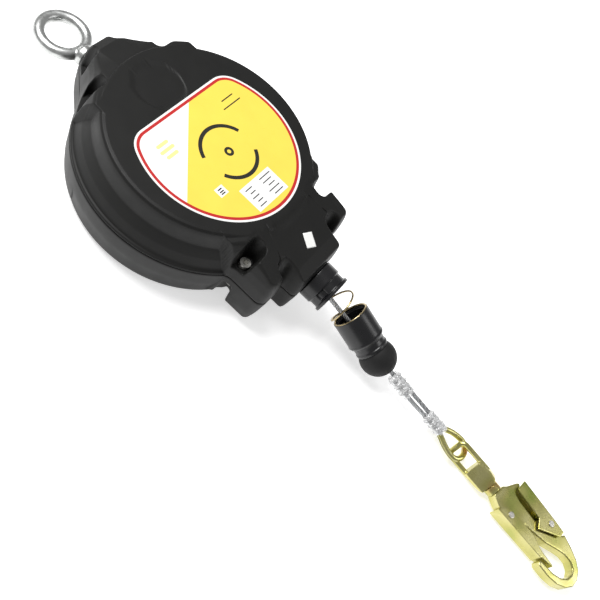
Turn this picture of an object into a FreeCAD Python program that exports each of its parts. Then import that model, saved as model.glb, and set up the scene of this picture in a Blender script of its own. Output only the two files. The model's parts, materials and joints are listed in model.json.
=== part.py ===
import FreeCAD, Part
import math
import os
import Sketcher
from FreeCAD import Placement, Rotation, Vector

# Self retracting lifeline (fall arrest block with wire rope), lying on its back.
# Millimetres. The origin is on the drum's axis at the housing's rear face, +Z runs
# out of the front face and +X runs from the drum towards the snap hook.

DIMENSIONS = (
    # alias, value, what it is
    ("seam_height", 45, "height of the joint between the two covers"),
    ("top_height", 86, "height of the front face"),
    ("seam_radius", 111, "radius of the covers at the joint"),
    ("foot_radius", 99, "radius of the flat rear face"),
    ("skirt_radius", 105.5, "radius where the rear cover's side starts"),
    ("step_radius", 99.5, "radius at the foot of the raised front disc"),
    ("step_height", 66, "height at the foot of the raised front disc"),
    ("disc_radius", 97, "radius of the raised front disc"),
    ("cover_wall", 3.5, "thickness of the covers"),
    ("lug_side", 64, "half width over the two lugs"),
    ("lug_inner", 41, "half width inside the two lugs"),
    ("lug_end", 131, "where the lugs end"),
    ("block_side", 33, "half width of the nozzle block"),
    ("block_end", 145, "end face of the nozzle block"),
    ("tip_end", 132, "end face at the eye, on the -X side"),
    ("screw_side", 54, "half distance between the screws at the lugs"),
    ("screw_x", 95, "place of the screws at the lugs"),
    ("eye_screw_side", 42, "half distance between the screws at the eye end"),
    ("eye_screw_x", -93, "place of the screws at the eye end"),
    ("screw_radius", 3, "radius of every M6 thread"),
    ("plate_bottom", 5.5, "underside of the rear frame plate"),
    ("plate_thickness", 3, "thickness of the rear frame plate"),
    ("plate_radius", 92, "radius of the rear frame plate"),
    ("front_plate_bottom", 77, "underside of the front frame plate"),
    ("front_plate_thickness", 2.5, "thickness of the front frame plate"),
    ("front_plate_radius", 91, "radius of the front plate and ratchet ring"),
    ("post_circle", 86.5, "radius of the circle that the frame posts stand on"),
    ("post_radius", 5, "radius of a frame post"),
    ("ring_bottom", 67.5, "underside of the ratchet ring"),
    ("ring_top", 73, "top of the ratchet ring"),
    ("tooth_tip", 76.3, "radius at the tips of the ratchet teeth"),
    ("tooth_root", 82.5, "radius at the roots of the ratchet teeth"),
    ("shaft_radius", 8, "radius of the drum shaft"),
    ("hub_bore", 10.5, "bore of the drum's hub"),
    ("hub_radius", 14, "outside of the drum's hub"),
    ("core_inner", 30, "inside of the drum's rim"),
    ("core_radius", 38, "outside of the drum's rim, under the rope"),
    ("flange_radius", 66, "radius of the drum's side plates"),
    ("flange_thickness", 2.5, "thickness of the drum's side plates"),
    ("rope_bottom", 31.5, "lower side of the space for the rope"),
    ("rope_top", 61.5, "upper side of the space for the rope"),
    ("rope_radius", 57.8, "outside of the wound rope"),
    ("cable_radius", 2.25, "radius of the wire rope"),
    ("friction_radius", 29, "outside of the brake's friction discs"),
    ("carrier_radius", 62, "radius of the pawl carrier"),
    ("carrier_thickness", 2.4, "thickness of the pawl carrier"),
    ("pawl_pivot", 54, "distance of a pawl's pin from the drum's axis"),
    ("pawl_pin_radius", 3, "radius of a pawl's pin"),
    ("case_radius", 64, "outside of the mainspring's case"),
    ("strip_thickness", 1.1, "thickness of the mainspring's strip"),
    ("strip_pitch", 3.2, "distance from one turn of the mainspring to the next"),
    ("nozzle_bore", 15, "radius of the nozzle's open bore"),
    ("rope_slope", 11, "droop of the rope where it leaves the nozzle, in degrees"),
    ("throat_x", 140, "where the rope crosses the nozzle's axis"),
    ("ball_x", 237.5, "place of the ball stop's centre"),
    ("ball_radius", 17.5, "radius of the ball stop"),
    ("cup_tilt", 20, "droop of the buffer cup, in degrees"),
    ("cup_radius", 17.3, "outside of the buffer cup"),
    ("wire_radius", 0.9, "radius of the buffer spring's wire"),
    ("ring_radius", 21, "radius of the anchor eye's centre line"),
    ("ring_section", 5.5, "radius of the anchor eye's section"),
    ("eye_centre", 162, "distance of the anchor eye's centre, on the -X side"),
    ("shank_radius", 6, "radius of the anchor eye's shank"),
    ("link_x", 348.5, "place of the bar that the thimble holds"),
    ("link_z", 10.4, "height of that bar and of the hook's axis"),
    ("hook_yaw", 6.5, "how far the hook points to the -Y side, in degrees"),
    ("bow_tilt", 52, "tilt of the bow about the hook's axis, in degrees"),
    ("bar_radius", 2.7, "radius of the bow's bars"),
    ("bow_side", 8.8, "half distance between the bow's two bars"),
    ("hook_thickness", 11, "thickness of the forged hook"),
    ("gate_width", 14.6, "width of the gate over its two cheeks"),
    ("lever_width", 18.2, "width of the lock lever over its two cheeks"),
    ("rivet_radius", 2.4, "radius of the hook's two rivets"),
)

doc = FreeCAD.newDocument("lifeline")


# ---------------------------------------------------------------- sizes and sheet


class Size:
    """A number together with the sheet formula that it comes from."""

    def __init__(self, value, text):
        self.value = value
        self.text = text

    def __add__(self, other):
        other = as_size(other)
        return Size(self.value + other.value, f"({self.text} + {other.text})")

    def __sub__(self, other):
        other = as_size(other)
        return Size(self.value - other.value, f"({self.text} - {other.text})")

    def __rsub__(self, other):
        return as_size(other) - self

    def __mul__(self, other):
        other = as_size(other)
        return Size(self.value * other.value, f"({self.text} * {other.text})")

    def __neg__(self):
        return Size(-self.value, f"(0 - {self.text})")

    __radd__ = __add__
    __rmul__ = __mul__


def as_size(thing):
    if isinstance(thing, Size):
        return thing
    return Size(float(thing), f"({thing:.6f})")


def make_sheet():
    sheet = doc.addObject("Spreadsheet::Sheet", "Sizes")
    for row, (alias, value, note) in enumerate(DIMENSIONS, start=1):
        sheet.set(f"A{row}", note)
        sheet.set(f"B{row}", str(value))
        sheet.setAlias(f"B{row}", alias)
    doc.recompute()


def size(alias):
    value = {name: number for name, number, note in DIMENSIONS}[alias]
    return Size(float(value), f"Sizes.{alias}")


def bind(thing, path, amount):
    """Gives a property its value and binds it to the sheet."""
    thing.setExpression(path, as_size(amount).text)


# ---------------------------------------------------------------- sketches


def polar(radius, degrees):
    angle = math.radians(degrees)
    return (radius * math.cos(angle), radius * math.sin(angle))


def mirrored(points):
    """The same outline on the other side of the X axis."""
    return [(x, -y if not isinstance(y, str) else y) for x, y in points]


def add_outline(sketch, points):
    """A closed outline of straight lines through the points, each one bound."""
    first = sketch.GeometryCount
    places = [(as_size(x), as_size(y)) for x, y in points]
    count = len(places)
    for i in range(count):
        x0, y0 = places[i]
        x1, y1 = places[(i + 1) % count]
        start = Vector(x0.value, y0.value, 0)
        end = Vector(x1.value, y1.value, 0)
        sketch.addGeometry(Part.LineSegment(start, end), False)
    for i in range(count):
        after = first + (i + 1) % count
        sketch.addConstraint(Sketcher.Constraint("Coincident", first + i, 2, after, 1))
    for i, (x, y) in enumerate(places):
        for kind, amount in (("DistanceX", x), ("DistanceY", y)):
            rule = Sketcher.Constraint(kind, -1, 1, first + i, 1, amount.value)
            number = sketch.addConstraint(rule)
            sketch.setExpression(f"Constraints[{number}]", amount.text)


def add_circle(sketch, x, y, radius):
    x, y, radius = as_size(x), as_size(y), as_size(radius)
    centre = Vector(x.value, y.value, 0)
    circle = Part.Circle(centre, Vector(0, 0, 1), radius.value)
    index = sketch.addGeometry(circle, False)
    rules = (
        (Sketcher.Constraint("DistanceX", -1, 1, index, 3, x.value), x),
        (Sketcher.Constraint("DistanceY", -1, 1, index, 3, y.value), y),
        (Sketcher.Constraint("Radius", index, radius.value), radius),
    )
    for rule, amount in rules:
        number = sketch.addConstraint(rule)
        sketch.setExpression(f"Constraints[{number}]", amount.text)


def new_sketch(body, plane, outlines, lift=0):
    """A sketch of outlines, each a list of points or a circle (x, y, radius)."""
    sketch = body.newObject("Sketcher::SketchObject", body.Label + "_sketch")
    face = [f for f in body.Origin.OriginFeatures if f.Role == plane][0]
    sketch.AttachmentSupport = [(face, "")]
    sketch.MapMode = "FlatFace"
    bind(sketch, "AttachmentOffset.Base.z", lift)
    for outline in outlines:
        if isinstance(outline, tuple):
            add_circle(sketch, *outline)
        else:
            add_outline(sketch, outline)
    return sketch


# ---------------------------------------------------------------- features


def new_body(label):
    body = doc.addObject("PartDesign::Body", label)
    body.Label = label
    body.AllowCompound = True
    return body


def axis_of(body, role):
    return [f for f in body.Origin.OriginFeatures if f.Role == role][0]


def feature(body, kind, sketch):
    thing = body.newObject(kind, body.Label + "_" + kind.split("::")[1].lower())
    thing.Profile = sketch
    return thing


def pad(body, plane, outlines, height, lift=0, both_sides=False):
    """Adds material above the sketch, or on both sides of it."""
    thing = feature(body, "PartDesign::Pad", new_sketch(body, plane, outlines, lift))
    if both_sides:
        thing.SideType = "Symmetric"
    bind(thing, "Length", height)
    doc.recompute()
    return thing


def pocket(body, plane, outlines, depth, lift=0, both_sides=False):
    """Cuts material above the sketch, or on both sides of it."""
    before = body.Shape.Volume
    sketch = new_sketch(body, plane, outlines, lift)
    thing = feature(body, "PartDesign::Pocket", sketch)
    if both_sides:
        thing.SideType = "Symmetric"
    else:
        thing.Reversed = True
    bind(thing, "Length", depth)
    doc.recompute()
    if body.Shape.Volume >= before:
        raise ValueError(body.Label + ": a pocket cut nothing")
    return thing


def revolve(body, outline, axis="Z_Axis"):
    """Turns an outline in the XZ plane about one of the body's axes."""
    sketch = new_sketch(body, "XZ_Plane", [outline])
    thing = feature(body, "PartDesign::Revolution", sketch)
    thing.ReferenceAxis = (axis_of(body, axis), [""])
    thing.Angle = 360
    doc.recompute()
    return thing


def groove(body, outline, axis="Z_Axis"):
    """Turns an outline in the XZ plane and cuts it away."""
    before = body.Shape.Volume
    sketch = new_sketch(body, "XZ_Plane", [outline])
    thing = feature(body, "PartDesign::Groove", sketch)
    thing.ReferenceAxis = (axis_of(body, axis), [""])
    thing.Angle = 360
    doc.recompute()
    if body.Shape.Volume >= before:
        raise ValueError(body.Label + ": a groove cut nothing")
    return thing


def box_outline(x0, x1, y0, y1):
    return [(x0, y0), (x1, y0), (x1, y1), (x0, y1)]


def tube_outline(inner, outer, low, high):
    return [(inner, low), (outer, low), (outer, high), (inner, high)]


def disc(label, inner, outer, low, high):
    """A flat ring about the drum's axis."""
    body = new_body(label)
    revolve(body, tube_outline(inner, outer, low, high))
    return body


def cylinder(name, radius, length, base, direction=Vector(0, 0, 1)):
    """A Part cylinder that stands on a point and runs along a direction."""
    thing = doc.addObject("Part::Cylinder", name)
    bind(thing, "Radius", radius)
    bind(thing, "Height", length)
    turn = Rotation(Vector(0, 0, 1), direction)
    thing.Placement = Placement(Vector(*base), turn)
    return thing


def fuse(name, members):
    thing = doc.addObject("Part::MultiFuse", name)
    thing.Shapes = members
    return thing


def cut(name, base, tool):
    thing = doc.addObject("Part::Cut", name)
    thing.Base = base
    thing.Tool = tool
    return thing


def group(name, members):
    """Several separate solids that share one node."""
    thing = doc.addObject("Part::Compound", name)
    thing.Links = members
    return thing


def free_shape(label, shape):
    thing = doc.addObject("Part::Feature", label)
    thing.Shape = shape
    return thing


NODES = []


def node(thing, label):
    thing.Label = label
    NODES.append(thing)
    return thing


# ---------------------------------------------------------------- places

make_sheet()

seam = size("seam_height")
top = size("top_height")
wall = size("cover_wall")
slope = math.radians(size("rope_slope").value)
throat = Vector(size("throat_x").value, 0, seam.value)
rope_way = Vector(math.cos(slope), 0, -math.sin(slope))
ball_reach = (size("ball_x").value - throat.x) / rope_way.x
ball_centre = throat + rope_way * ball_reach
yaw = size("hook_yaw").value
hook_place = Placement(
    Vector(size("link_x").value, 0, size("link_z").value),
    Rotation(Vector(0, 0, 1), -yaw),
)
bow_place = hook_place * Placement(
    Vector(0, 0, 0), Rotation(Vector(1, 0, 0), size("bow_tilt").value)
)
cup_place = Placement(ball_centre, Rotation(Vector(0, 1, 0), size("cup_tilt").value))
POST_ANGLES = (45, 135, 225, 315)
PAWL_ANGLES = (0, 180)


def rope_point(x):
    """The point of the rope's straight run at this X."""
    return throat + rope_way * ((x - throat.x) / rope_way.x)


# ---------------------------------------------------------------- the two covers

LUG_TOP = 75
BLOCK_TOP = 66
BLOCK_FOOT = 18
SIDE_FLOOR = 58
EYE_FLOOR = 57.5
TIP_FLOOR = 50
THREAD_TOP = 55
SHOULDER = 63


def wedge_outline():
    """The pointed end of the housing that holds the eye's shank, seen from above."""
    tip = -size("tip_end")
    return [(-88, -62), (-88, 62), (-101, 47), (tip + 3, 14), (tip, 12), (tip, -12),
            (tip + 3, -14), (-101, -47)]


def add_ends(body, low, wedge_high, lug_high, block_low, block_high):
    """The eye wedge, the two lugs and the nozzle block of one cover."""
    pad(body, "XY_Plane", [wedge_outline()], wedge_high - low, low)
    end = size("lug_end")
    side = size("lug_side")
    inner = size("lug_inner")
    lug = [(70, inner), (end - 4, inner), (end, inner + 4), (end, side - 10),
           (end - 1.6, side - 4.5), (end - 5, side - 1.4), (end - 10.5, side), (70, side)]
    for side in (lug, mirrored(lug)):
        pad(body, "XY_Plane", [side], lug_high - low, low)
    side = size("block_side")
    block = box_outline(70, size("block_end"), -side, side)
    pad(body, "XY_Plane", [block], block_high - block_low, block_low)
    bridge = box_outline(70, 121, -size("lug_inner") - 1, size("lug_inner") + 1)
    pad(body, "XY_Plane", [bridge], block_high - block_low, block_low)


def cut_rope_way(body):
    """The nozzle's seat at one end and the bore for the eye's shank at the other."""
    sketch_axis = "YZ_Plane"
    pocket(body, sketch_axis, [(0, seam, 17.2)], size("block_end") - 80, 80)
    pocket(body, sketch_axis, [(0, seam, 20.3)], 3.4, 127.8)
    length = size("tip_end") - 80
    pocket(body, sketch_axis, [(0, seam, size("shank_radius") + 0.6)], length + 1,
           -size("tip_end") - 1)


def screw_places():
    for side in (-1, 1):
        yield (size("screw_x"), size("screw_side") * side)
        yield (size("eye_screw_x"), size("eye_screw_side") * side)


def make_front_cover():
    body = new_body("front_cover")
    revolve(body, [
        (0, seam), (size("seam_radius"), seam), (size("seam_radius"), seam + 3),
        (size("seam_radius") - 2.5, seam + 7), (size("step_radius") + 2, size("step_height") - 3),
        (size("step_radius"), size("step_height")), (size("disc_radius"), top - 4),
        (size("disc_radius") - 1.2, top - 1.2), (size("disc_radius") - 4, top), (0, top),
    ])
    add_ends(body, seam, SHOULDER, LUG_TOP, seam, BLOCK_TOP)
    ridge = [(-126, seam), (-80, seam), (-80, top), (-92, top - 1), (-118, 78), (-128, 72)]
    pad(body, "XZ_Plane", [ridge], 26, both_sides=True)
    saddle = [(60, seam), (140, seam), (140, BLOCK_TOP), (118, 76), (92, top - 1), (60, top)]
    pad(body, "XZ_Plane", [saddle], 66, both_sides=True)
    lug_saddle = [(60, seam), (126, seam), (129, 66), (122, 75), (92, top - 3), (60, top)]
    pad(body, "XZ_Plane", [lug_saddle], 118, both_sides=True)
    for side in (1, -1):
        channel = [(88, 44 * side), (95, 38 * side), (102, 44 * side), (102, 80 * side),
                   (88, 80 * side)]
        valley = [(121, 36 * side), (124, 33 * side), (150, 33 * side), (150, 41 * side),
                  (124, 41 * side)]
        near = [(-101, 38 * side), (-98.5, 35.2 * side), (-95.5, 34 * side),
                (-92.5, 35.2 * side), (-90, 38 * side), (-90, 90 * side), (-101, 90 * side)]
        far = [(-129, 12 * side), (-118, 12 * side), (-115, 60 * side), (-136, 60 * side)]
        pocket(body, "XY_Plane", [channel], 50, SIDE_FLOOR)
        pocket(body, "XY_Plane", [valley], 60, seam)
        pocket(body, "XY_Plane", [near], 50, EYE_FLOOR)
        pocket(body, "XY_Plane", [far], 50, TIP_FLOOR)
    groove(body, [
        (0, seam), (size("seam_radius") - wall, seam), (size("seam_radius") - wall, seam + 3),
        (size("step_radius") - wall, 62), (size("disc_radius") - wall, 70),
        (size("disc_radius") - wall, top - wall), (0, top - wall),
    ])
    pocket(body, "XY_Plane", [(-62, 0, 24)], 5, top - 0.6)
    for x, y in screw_places():
        through = x.value > 0
        floor = SIDE_FLOOR if through else EYE_FLOOR
        pad(body, "XY_Plane", [(x, y, 6.5)], floor - 0.5 - seam, seam)
        play = 0.3 if through else 0.02
        depth = 60 if through else THREAD_TOP + 0.5 - 45
        pocket(body, "XY_Plane", [(x, y, size("screw_radius") + play)], depth, seam)
    cut_rope_way(body)
    return node(body, "front_cover")


def make_rear_cover():
    body = new_body("rear_cover")
    revolve(body, [
        (0, 0), (size("foot_radius"), 0), (size("skirt_radius") - 1.5, 2.2),
        (size("skirt_radius"), 6), (size("seam_radius"), seam - 6), (size("seam_radius"), seam),
        (0, seam),
    ])
    add_ends(body, 10, seam, seam, BLOCK_FOOT, seam)
    for side in (1, -1):
        notch = box_outline(89, 102, 49 * side, 90 * side)
        pocket(body, "XY_Plane", [notch], 22, 12)
        eye_notch = box_outline(-99, -87, 36.5 * side, 90 * side)
        pocket(body, "XY_Plane", [eye_notch], 22, 12)
    groove(body, [
        (0, 4), (size("foot_radius") - wall, 4), (size("skirt_radius") - wall, 8),
        (size("seam_radius") - wall, seam - 5), (size("seam_radius") - wall, seam), (0, seam),
    ])
    for x, y in screw_places():
        pad(body, "XY_Plane", [(x, y, 6.5)], seam - 34, 34)
        pocket(body, "XY_Plane", [(x, y, size("screw_radius") + 0.3)], seam - 33, 33)
    cut_rope_way(body)
    return node(body, "rear_cover")


def make_cover_screws():
    """Two M6 through screws at the lugs with nuts, and two from behind into the front cover."""
    screws = []
    nuts = []
    for i, (x, y) in enumerate(screw_places()):
        through = x.value > 0
        place = (x.value, y.value)
        low = 28 if through else 34
        high = SIDE_FLOOR if through else THREAD_TOP
        head_z = SIDE_FLOOR if through else 29
        socket_z = SIDE_FLOOR + 2.2 if through else 27.8
        shank = cylinder(f"screw_shank_{i}", size("screw_radius"), high - low, (*place, low))
        head = cylinder(f"screw_head_{i}", 5, 5, (*place, head_z))
        socket = doc.addObject("Part::Prism", f"screw_socket_{i}")
        socket.Polygon = 6
        socket.Circumradius = 2.9
        socket.Height = 4
        socket.Placement = Placement(Vector(*place, socket_z), Rotation())
        whole = fuse(f"screw_blank_{i}", [shank, head])
        screws.append(cut(f"screw_{i}", whole, socket))
        if not through:
            continue
        blank = doc.addObject("Part::Prism", f"nut_blank_{i}")
        blank.Polygon = 6
        blank.Circumradius = 5.6
        blank.Height = 4.6
        blank.Placement = Placement(Vector(*place, 29.2), Rotation())
        hole = cylinder(f"nut_hole_{i}", size("screw_radius") + 0.02, 6, (*place, 28.5))
        nuts.append(cut(f"nut_{i}", blank, hole))
    node(group("cover_screws", screws), "cover_screws")
    node(group("cover_nuts", nuts), "cover_nuts")


# ---------------------------------------------------------------- the frame


def circle_of(radius, angles, hole):
    return [(*polar(radius, angle), hole) for angle in angles]


def make_frame():
    low = size("plate_bottom")
    thick = size("plate_thickness")
    neck = size("screw_radius") + 0.02
    rear = new_body("rear_frame_plate")
    posts = circle_of(size("post_circle"), POST_ANGLES, neck)
    pad(rear, "XY_Plane", [(0, 0, size("plate_radius")), (0, 0, size("shaft_radius")), *posts],
        thick, low)
    node(rear, "rear_frame_plate")
    front = new_body("front_frame_plate")
    windows = circle_of(52, (0, 90, 180, 270), 17)
    pad(front, "XY_Plane",
        [(0, 0, size("front_plate_radius")), (0, 0, 6), *posts, *windows],
        size("front_plate_thickness"), size("front_plate_bottom"))
    node(front, "front_frame_plate")

    post_set = new_body("frame_posts")
    lower = size("plate_bottom") + size("plate_thickness")
    pad(post_set, "XY_Plane",
        circle_of(size("post_circle"), POST_ANGLES, size("post_radius")),
        size("ring_bottom") - lower, lower)
    upper_end = size("front_plate_bottom") + size("front_plate_thickness")
    pad(post_set, "XY_Plane",
        circle_of(size("post_circle"), POST_ANGLES, size("screw_radius")),
        upper_end - low, low)
    node(post_set, "frame_posts")
    spacers = new_body("ring_spacers")
    for angle in POST_ANGLES:
        at = polar(size("post_circle"), angle)
        pad(spacers, "XY_Plane", [(*at, size("post_radius") - 0.6), (*at, neck)],
            size("front_plate_bottom") - size("ring_top"), size("ring_top"))
    node(spacers, "ring_spacers")

    bracket = new_body("anchor_bracket")
    pad(bracket, "XZ_Plane",
        [[(-94, lower), (-67, lower), (-67, lower + 4), (-90, lower + 4), (-90, 61), (-94, 61)]],
        36, both_sides=True)
    pocket(bracket, "YZ_Plane", [(0, seam, size("shank_radius") + 0.1)], 12, -98)
    node(bracket, "anchor_bracket")


def make_ratchet_ring():
    """Twelve saw teeth that face inwards, with their steep sides towards the pawls."""
    body = new_body("ratchet_ring")
    teeth = []
    for i in range(12):
        steep = 18.5 + 30 * i
        teeth.append(polar(size("tooth_root"), steep - 0.5))
        teeth.append(polar(size("tooth_tip"), steep))
        teeth.append(polar(size("tooth_tip") + 2.4, steep + 10))
        teeth.append(polar(size("tooth_tip") + 4.4, steep + 20))
    holes = circle_of(size("post_circle"), POST_ANGLES, size("screw_radius") + 0.02)
    pad(body, "XY_Plane", [(0, 0, size("front_plate_radius")), teeth, *holes],
        size("ring_top") - size("ring_bottom"), size("ring_bottom"))
    node(body, "ratchet_ring")


def make_shaft():
    body = new_body("drum_shaft")
    plate_top = size("front_plate_bottom")
    revolve(body, [
        (0, 4.1), (12, 4.1), (12, size("plate_bottom")),
        (size("shaft_radius"), size("plate_bottom")), (size("shaft_radius"), plate_top),
        (6, plate_top), (6, 82.2), (0, 82.2),
    ])
    node(body, "drum_shaft")
    nut = new_body("shaft_nut")
    hexagon = [polar(as_size(11), 60 * i) for i in range(6)]
    start = plate_top + size("front_plate_thickness")
    pad(nut, "XY_Plane", [hexagon, (0, 0, 6.02)], 2.6, start)
    node(nut, "shaft_nut")


# ---------------------------------------------------------------- the mainspring


def make_spring_case():
    floor = size("plate_bottom") + size("plate_thickness")
    radius = size("case_radius")
    case = new_body("spring_case")
    revolve(case, [
        (size("shaft_radius") + 0.1, floor), (radius, floor), (radius, 26.5),
        (radius - 2, 26.5), (radius - 2, floor + 1.5), (size("shaft_radius") + 0.1, floor + 1.5),
    ])
    node(case, "spring_case")
    node(disc("spring_case_lid", size("hub_radius") + 1, radius, 26.5, 28), "spring_case_lid")


def make_mainspring():
    """A spiral strip of half circles whose centres swap sides at each half turn."""
    half = size("strip_thickness").value / 2
    pitch = size("strip_pitch").value
    first = size("hub_radius").value + 1.6
    inner_edges = []
    outer_edges = []
    for i in range(27):
        radius = first + i * pitch / 2
        shift = 0 if i % 2 == 0 else pitch / 2
        side = 1 if i % 2 == 0 else -1
        for edges, r in ((inner_edges, radius - half), (outer_edges, radius + half)):
            start = Vector(shift + r * side, 0, 0)
            middle = Vector(shift, r * side, 0)
            end = Vector(shift - r * side, 0, 0)
            edges.append(Part.Arc(start, middle, end).toShape())
    caps = []
    for i in (0, -1):
        a = inner_edges[i].Vertexes[0 if i == 0 else -1].Point
        b = outer_edges[i].Vertexes[0 if i == 0 else -1].Point
        caps.append(Part.LineSegment(a, b).toShape())
    ordered = Part.sortEdges(inner_edges + outer_edges + caps)[0]
    face = Part.Face(Part.Wire(ordered))
    strip = face.extrude(Vector(0, 0, 15.4))
    thing = free_shape("mainspring", strip)
    thing.Placement = Placement(Vector(0, 0, 10.6), Rotation())
    node(thing, "mainspring")


# ---------------------------------------------------------------- the drum and brake


def make_drum():
    bore = size("hub_bore")
    hub = size("hub_radius")
    inner = size("core_inner")
    core = size("core_radius")
    low = size("rope_bottom")
    high = size("rope_top")
    thick = size("flange_thickness")
    body = new_body("drum_core")
    revolve(body, [
        (bore, 10.6), (hub, 10.6), (hub, 44), (inner, 44), (inner, low), (core, low),
        (core, high), (inner, high), (inner, 49), (hub, 49), (hub, 76), (bore, 76),
    ])
    node(body, "drum_core")
    rivets = circle_of(34, range(0, 360, 60), 2)
    for label, start in (("drum_flange_rear", low - thick), ("drum_flange_front", high)):
        flange = new_body(label)
        pad(flange, "XY_Plane", [(0, 0, size("flange_radius")), (0, 0, hub), *rivets],
            thick, start)
        node(flange, label)
    pocket(body, "XY_Plane", rivets, high - low + 2, low - 1)
    pins = new_body("drum_rivets")
    pad(pins, "XY_Plane", circle_of(34, range(0, 360, 60), 2), high - low + thick * 2,
        low - thick)
    node(pins, "drum_rivets")
    bushes = new_body("drum_bushes")
    ring = [(0, 0, bore), (0, 0, size("shaft_radius") + 0.05)]
    for start in (10.6, 66):
        pad(bushes, "XY_Plane", ring, 10, start)
    node(bushes, "drum_bushes")
    node(disc("wound_cable", core + 0.05, size("rope_radius"), low + 0.1, high - 0.1),
         "wound_cable")
    stop = new_body("cable_anchor")
    pad(stop, "XY_Plane", [(22, 0, 5)], 9, 49)
    node(stop, "cable_anchor")


def make_brake():
    hub = size("hub_radius")
    face = size("rope_top") + size("flange_thickness")
    radius = size("friction_radius")
    carrier_low = face + 1.5
    carrier_high = carrier_low + size("carrier_thickness")
    node(disc("friction_disc_rear", hub, radius, face, carrier_low - 0.05), "friction_disc_rear")
    node(disc("friction_disc_front", hub, radius, carrier_high + 0.05, carrier_high + 1.5),
         "friction_disc_front")
    node(disc("pressure_plate", hub, radius, carrier_high + 1.5, carrier_high + 4),
         "pressure_plate")
    nut = new_body("pressure_nut")
    hexagon = [polar(as_size(20), 60 * i) for i in range(6)]
    pad(nut, "XY_Plane", [hexagon, (0, 0, hub)], 4, carrier_high + 4)
    node(nut, "pressure_nut")

    carrier = new_body("pawl_carrier")
    pivots = circle_of(size("pawl_pivot"), PAWL_ANGLES, size("pawl_pin_radius"))
    slots = circle_of(45, (90, 270), 9)
    pad(carrier, "XY_Plane",
        [(0, 0, size("carrier_radius")), (0, 0, hub + 0.3), *pivots, *slots],
        size("carrier_thickness"), carrier_low)
    node(carrier, "pawl_carrier")
    pins = new_body("pawl_pins")
    pad(pins, "XY_Plane", pivots, 75.6 - carrier_low, carrier_low)
    node(pins, "pawl_pins")
    springs = []
    for i, angle in enumerate(PAWL_ANGLES):
        x, y = polar(size("pawl_pivot").value, angle)
        for turn in range(3):
            coil = doc.addObject("Part::Torus", f"pawl_coil_{i}_{turn}")
            coil.Radius1 = 3.7
            coil.Radius2 = 0.45
            coil.Placement = Placement(Vector(x, y, 73.1 + turn * 0.9), Rotation())
            springs.append(coil)
    node(group("pawl_springs", springs), "pawl_springs")


def make_pawls():
    pivot = size("pawl_pivot")
    outline = [
        (pivot - 4, -12), (pivot + 6, -12), (pivot + 9, 0), (pivot + 15, 14),
        (pivot + 16.5, 25.6), (pivot + 12.5, 27.5), (pivot + 6, 16), (pivot - 4.5, 4),
    ]
    for label, angle in (("pawl_a", 0), ("pawl_b", 180)):
        body = new_body(label)
        pad(body, "XY_Plane", [outline, (pivot, 0, size("pawl_pin_radius") + 0.05)], 4, 68.2)
        body.Placement = Placement(Vector(0, 0, 0), Rotation(Vector(0, 0, 1), angle))
        node(body, label)


# ---------------------------------------------------------------- the nozzle


def make_nozzle():
    bore = size("nozzle_bore")
    nozzle = new_body("nozzle")
    revolve(nozzle, [
        (128, 10.2), (128, 20), (131, 20), (131, 17), (145.2, 17), (145.2, 18.8), (157, 18.8),
        (157.6, 17.5), (165.2, 17.5), (165.2, 19.2), (168.2, 19.2), (168.2, bore), (150, bore),
        (150, 10.2),
    ], "X_Axis")
    for i, angle in enumerate((60, 180, 300)):
        window = new_sketch(nozzle, "YZ_Plane", [box_outline(-4.5, 4.5, 13, 22)], 158)
        slot = feature(nozzle, "PartDesign::Pocket", window)
        slot.Reversed = True
        slot.Length = 6
        window.AttachmentOffset = Placement(
            Vector(0, 0, 158), Rotation(Vector(0, 0, 1), angle)
        )
        doc.recompute()
    nozzle.Placement = Placement(Vector(0, 0, seam.value), Rotation())
    node(nozzle, "nozzle")
    liner = new_body("cable_liner")
    revolve(liner, [
        (126, 8), (126, 10.1), (149.8, 10.1), (149.8, 8), (144.5, 4.4), (140, 3.4), (135, 4.4),
        (130.5, 6),
    ], "X_Axis")
    liner.Placement = Placement(Vector(0, 0, seam.value), Rotation())
    node(liner, "cable_liner")


# ---------------------------------------------------------------- the wire rope


def arc_path(points, share=0.45):
    """Straight runs joined by tangent arcs that take a share of the shorter run."""
    edges = []
    start = points[0]
    radii = []
    for before, corner, after in zip(points, points[1:], points[2:]):
        into = corner - before
        out = after - corner
        turn = into.getAngle(out)
        reach = share * min(into.Length, out.Length)
        radius = reach / math.tan(turn / 2)
        radii.append(radius)
        into.normalize()
        out.normalize()
        arc_start = corner - into * reach
        arc_end = corner + out * reach
        to_centre = (out - into).normalize()
        centre = corner + to_centre * (radius / math.cos(turn / 2))
        arc_middle = centre - to_centre * radius
        edges.append(Part.LineSegment(start, arc_start).toShape())
        edges.append(Part.Arc(arc_start, arc_middle, arc_end).toShape())
        start = arc_end
    edges.append(Part.LineSegment(start, points[-1]).toShape())
    return Part.Wire(edges), radii


def rope_tube(label, points):
    """The plain tube of a stretch of rope, checked against its section and length."""
    radius = size("cable_radius").value
    path, radii = arc_path(points)
    first = points[1] - points[0]
    circle = Part.Wire(Part.makeCircle(radius, points[0], first))
    tube = path.makePipeShell([circle], True, False)
    expected = math.pi * radius ** 2 * path.Length
    print(f"{label}: length {path.Length:.1f}, radii", [round(r, 1) for r in radii],
          f"volume {tube.Volume / expected:.4f} of section x length")
    if abs(tube.Volume / expected - 1) > 0.01:
        raise ValueError(label + ": the tube's volume is wrong")
    return free_shape(label, tube)


def tail_point(along, side):
    """A point of the rope's tail, past the ball, in the plane of the thimble."""
    start = rope_point(252)
    end = Vector(size("link_x").value, 0, size("link_z").value)
    way = (end - start).normalize()
    return start + way * along + Vector(0, side, 0)


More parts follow.
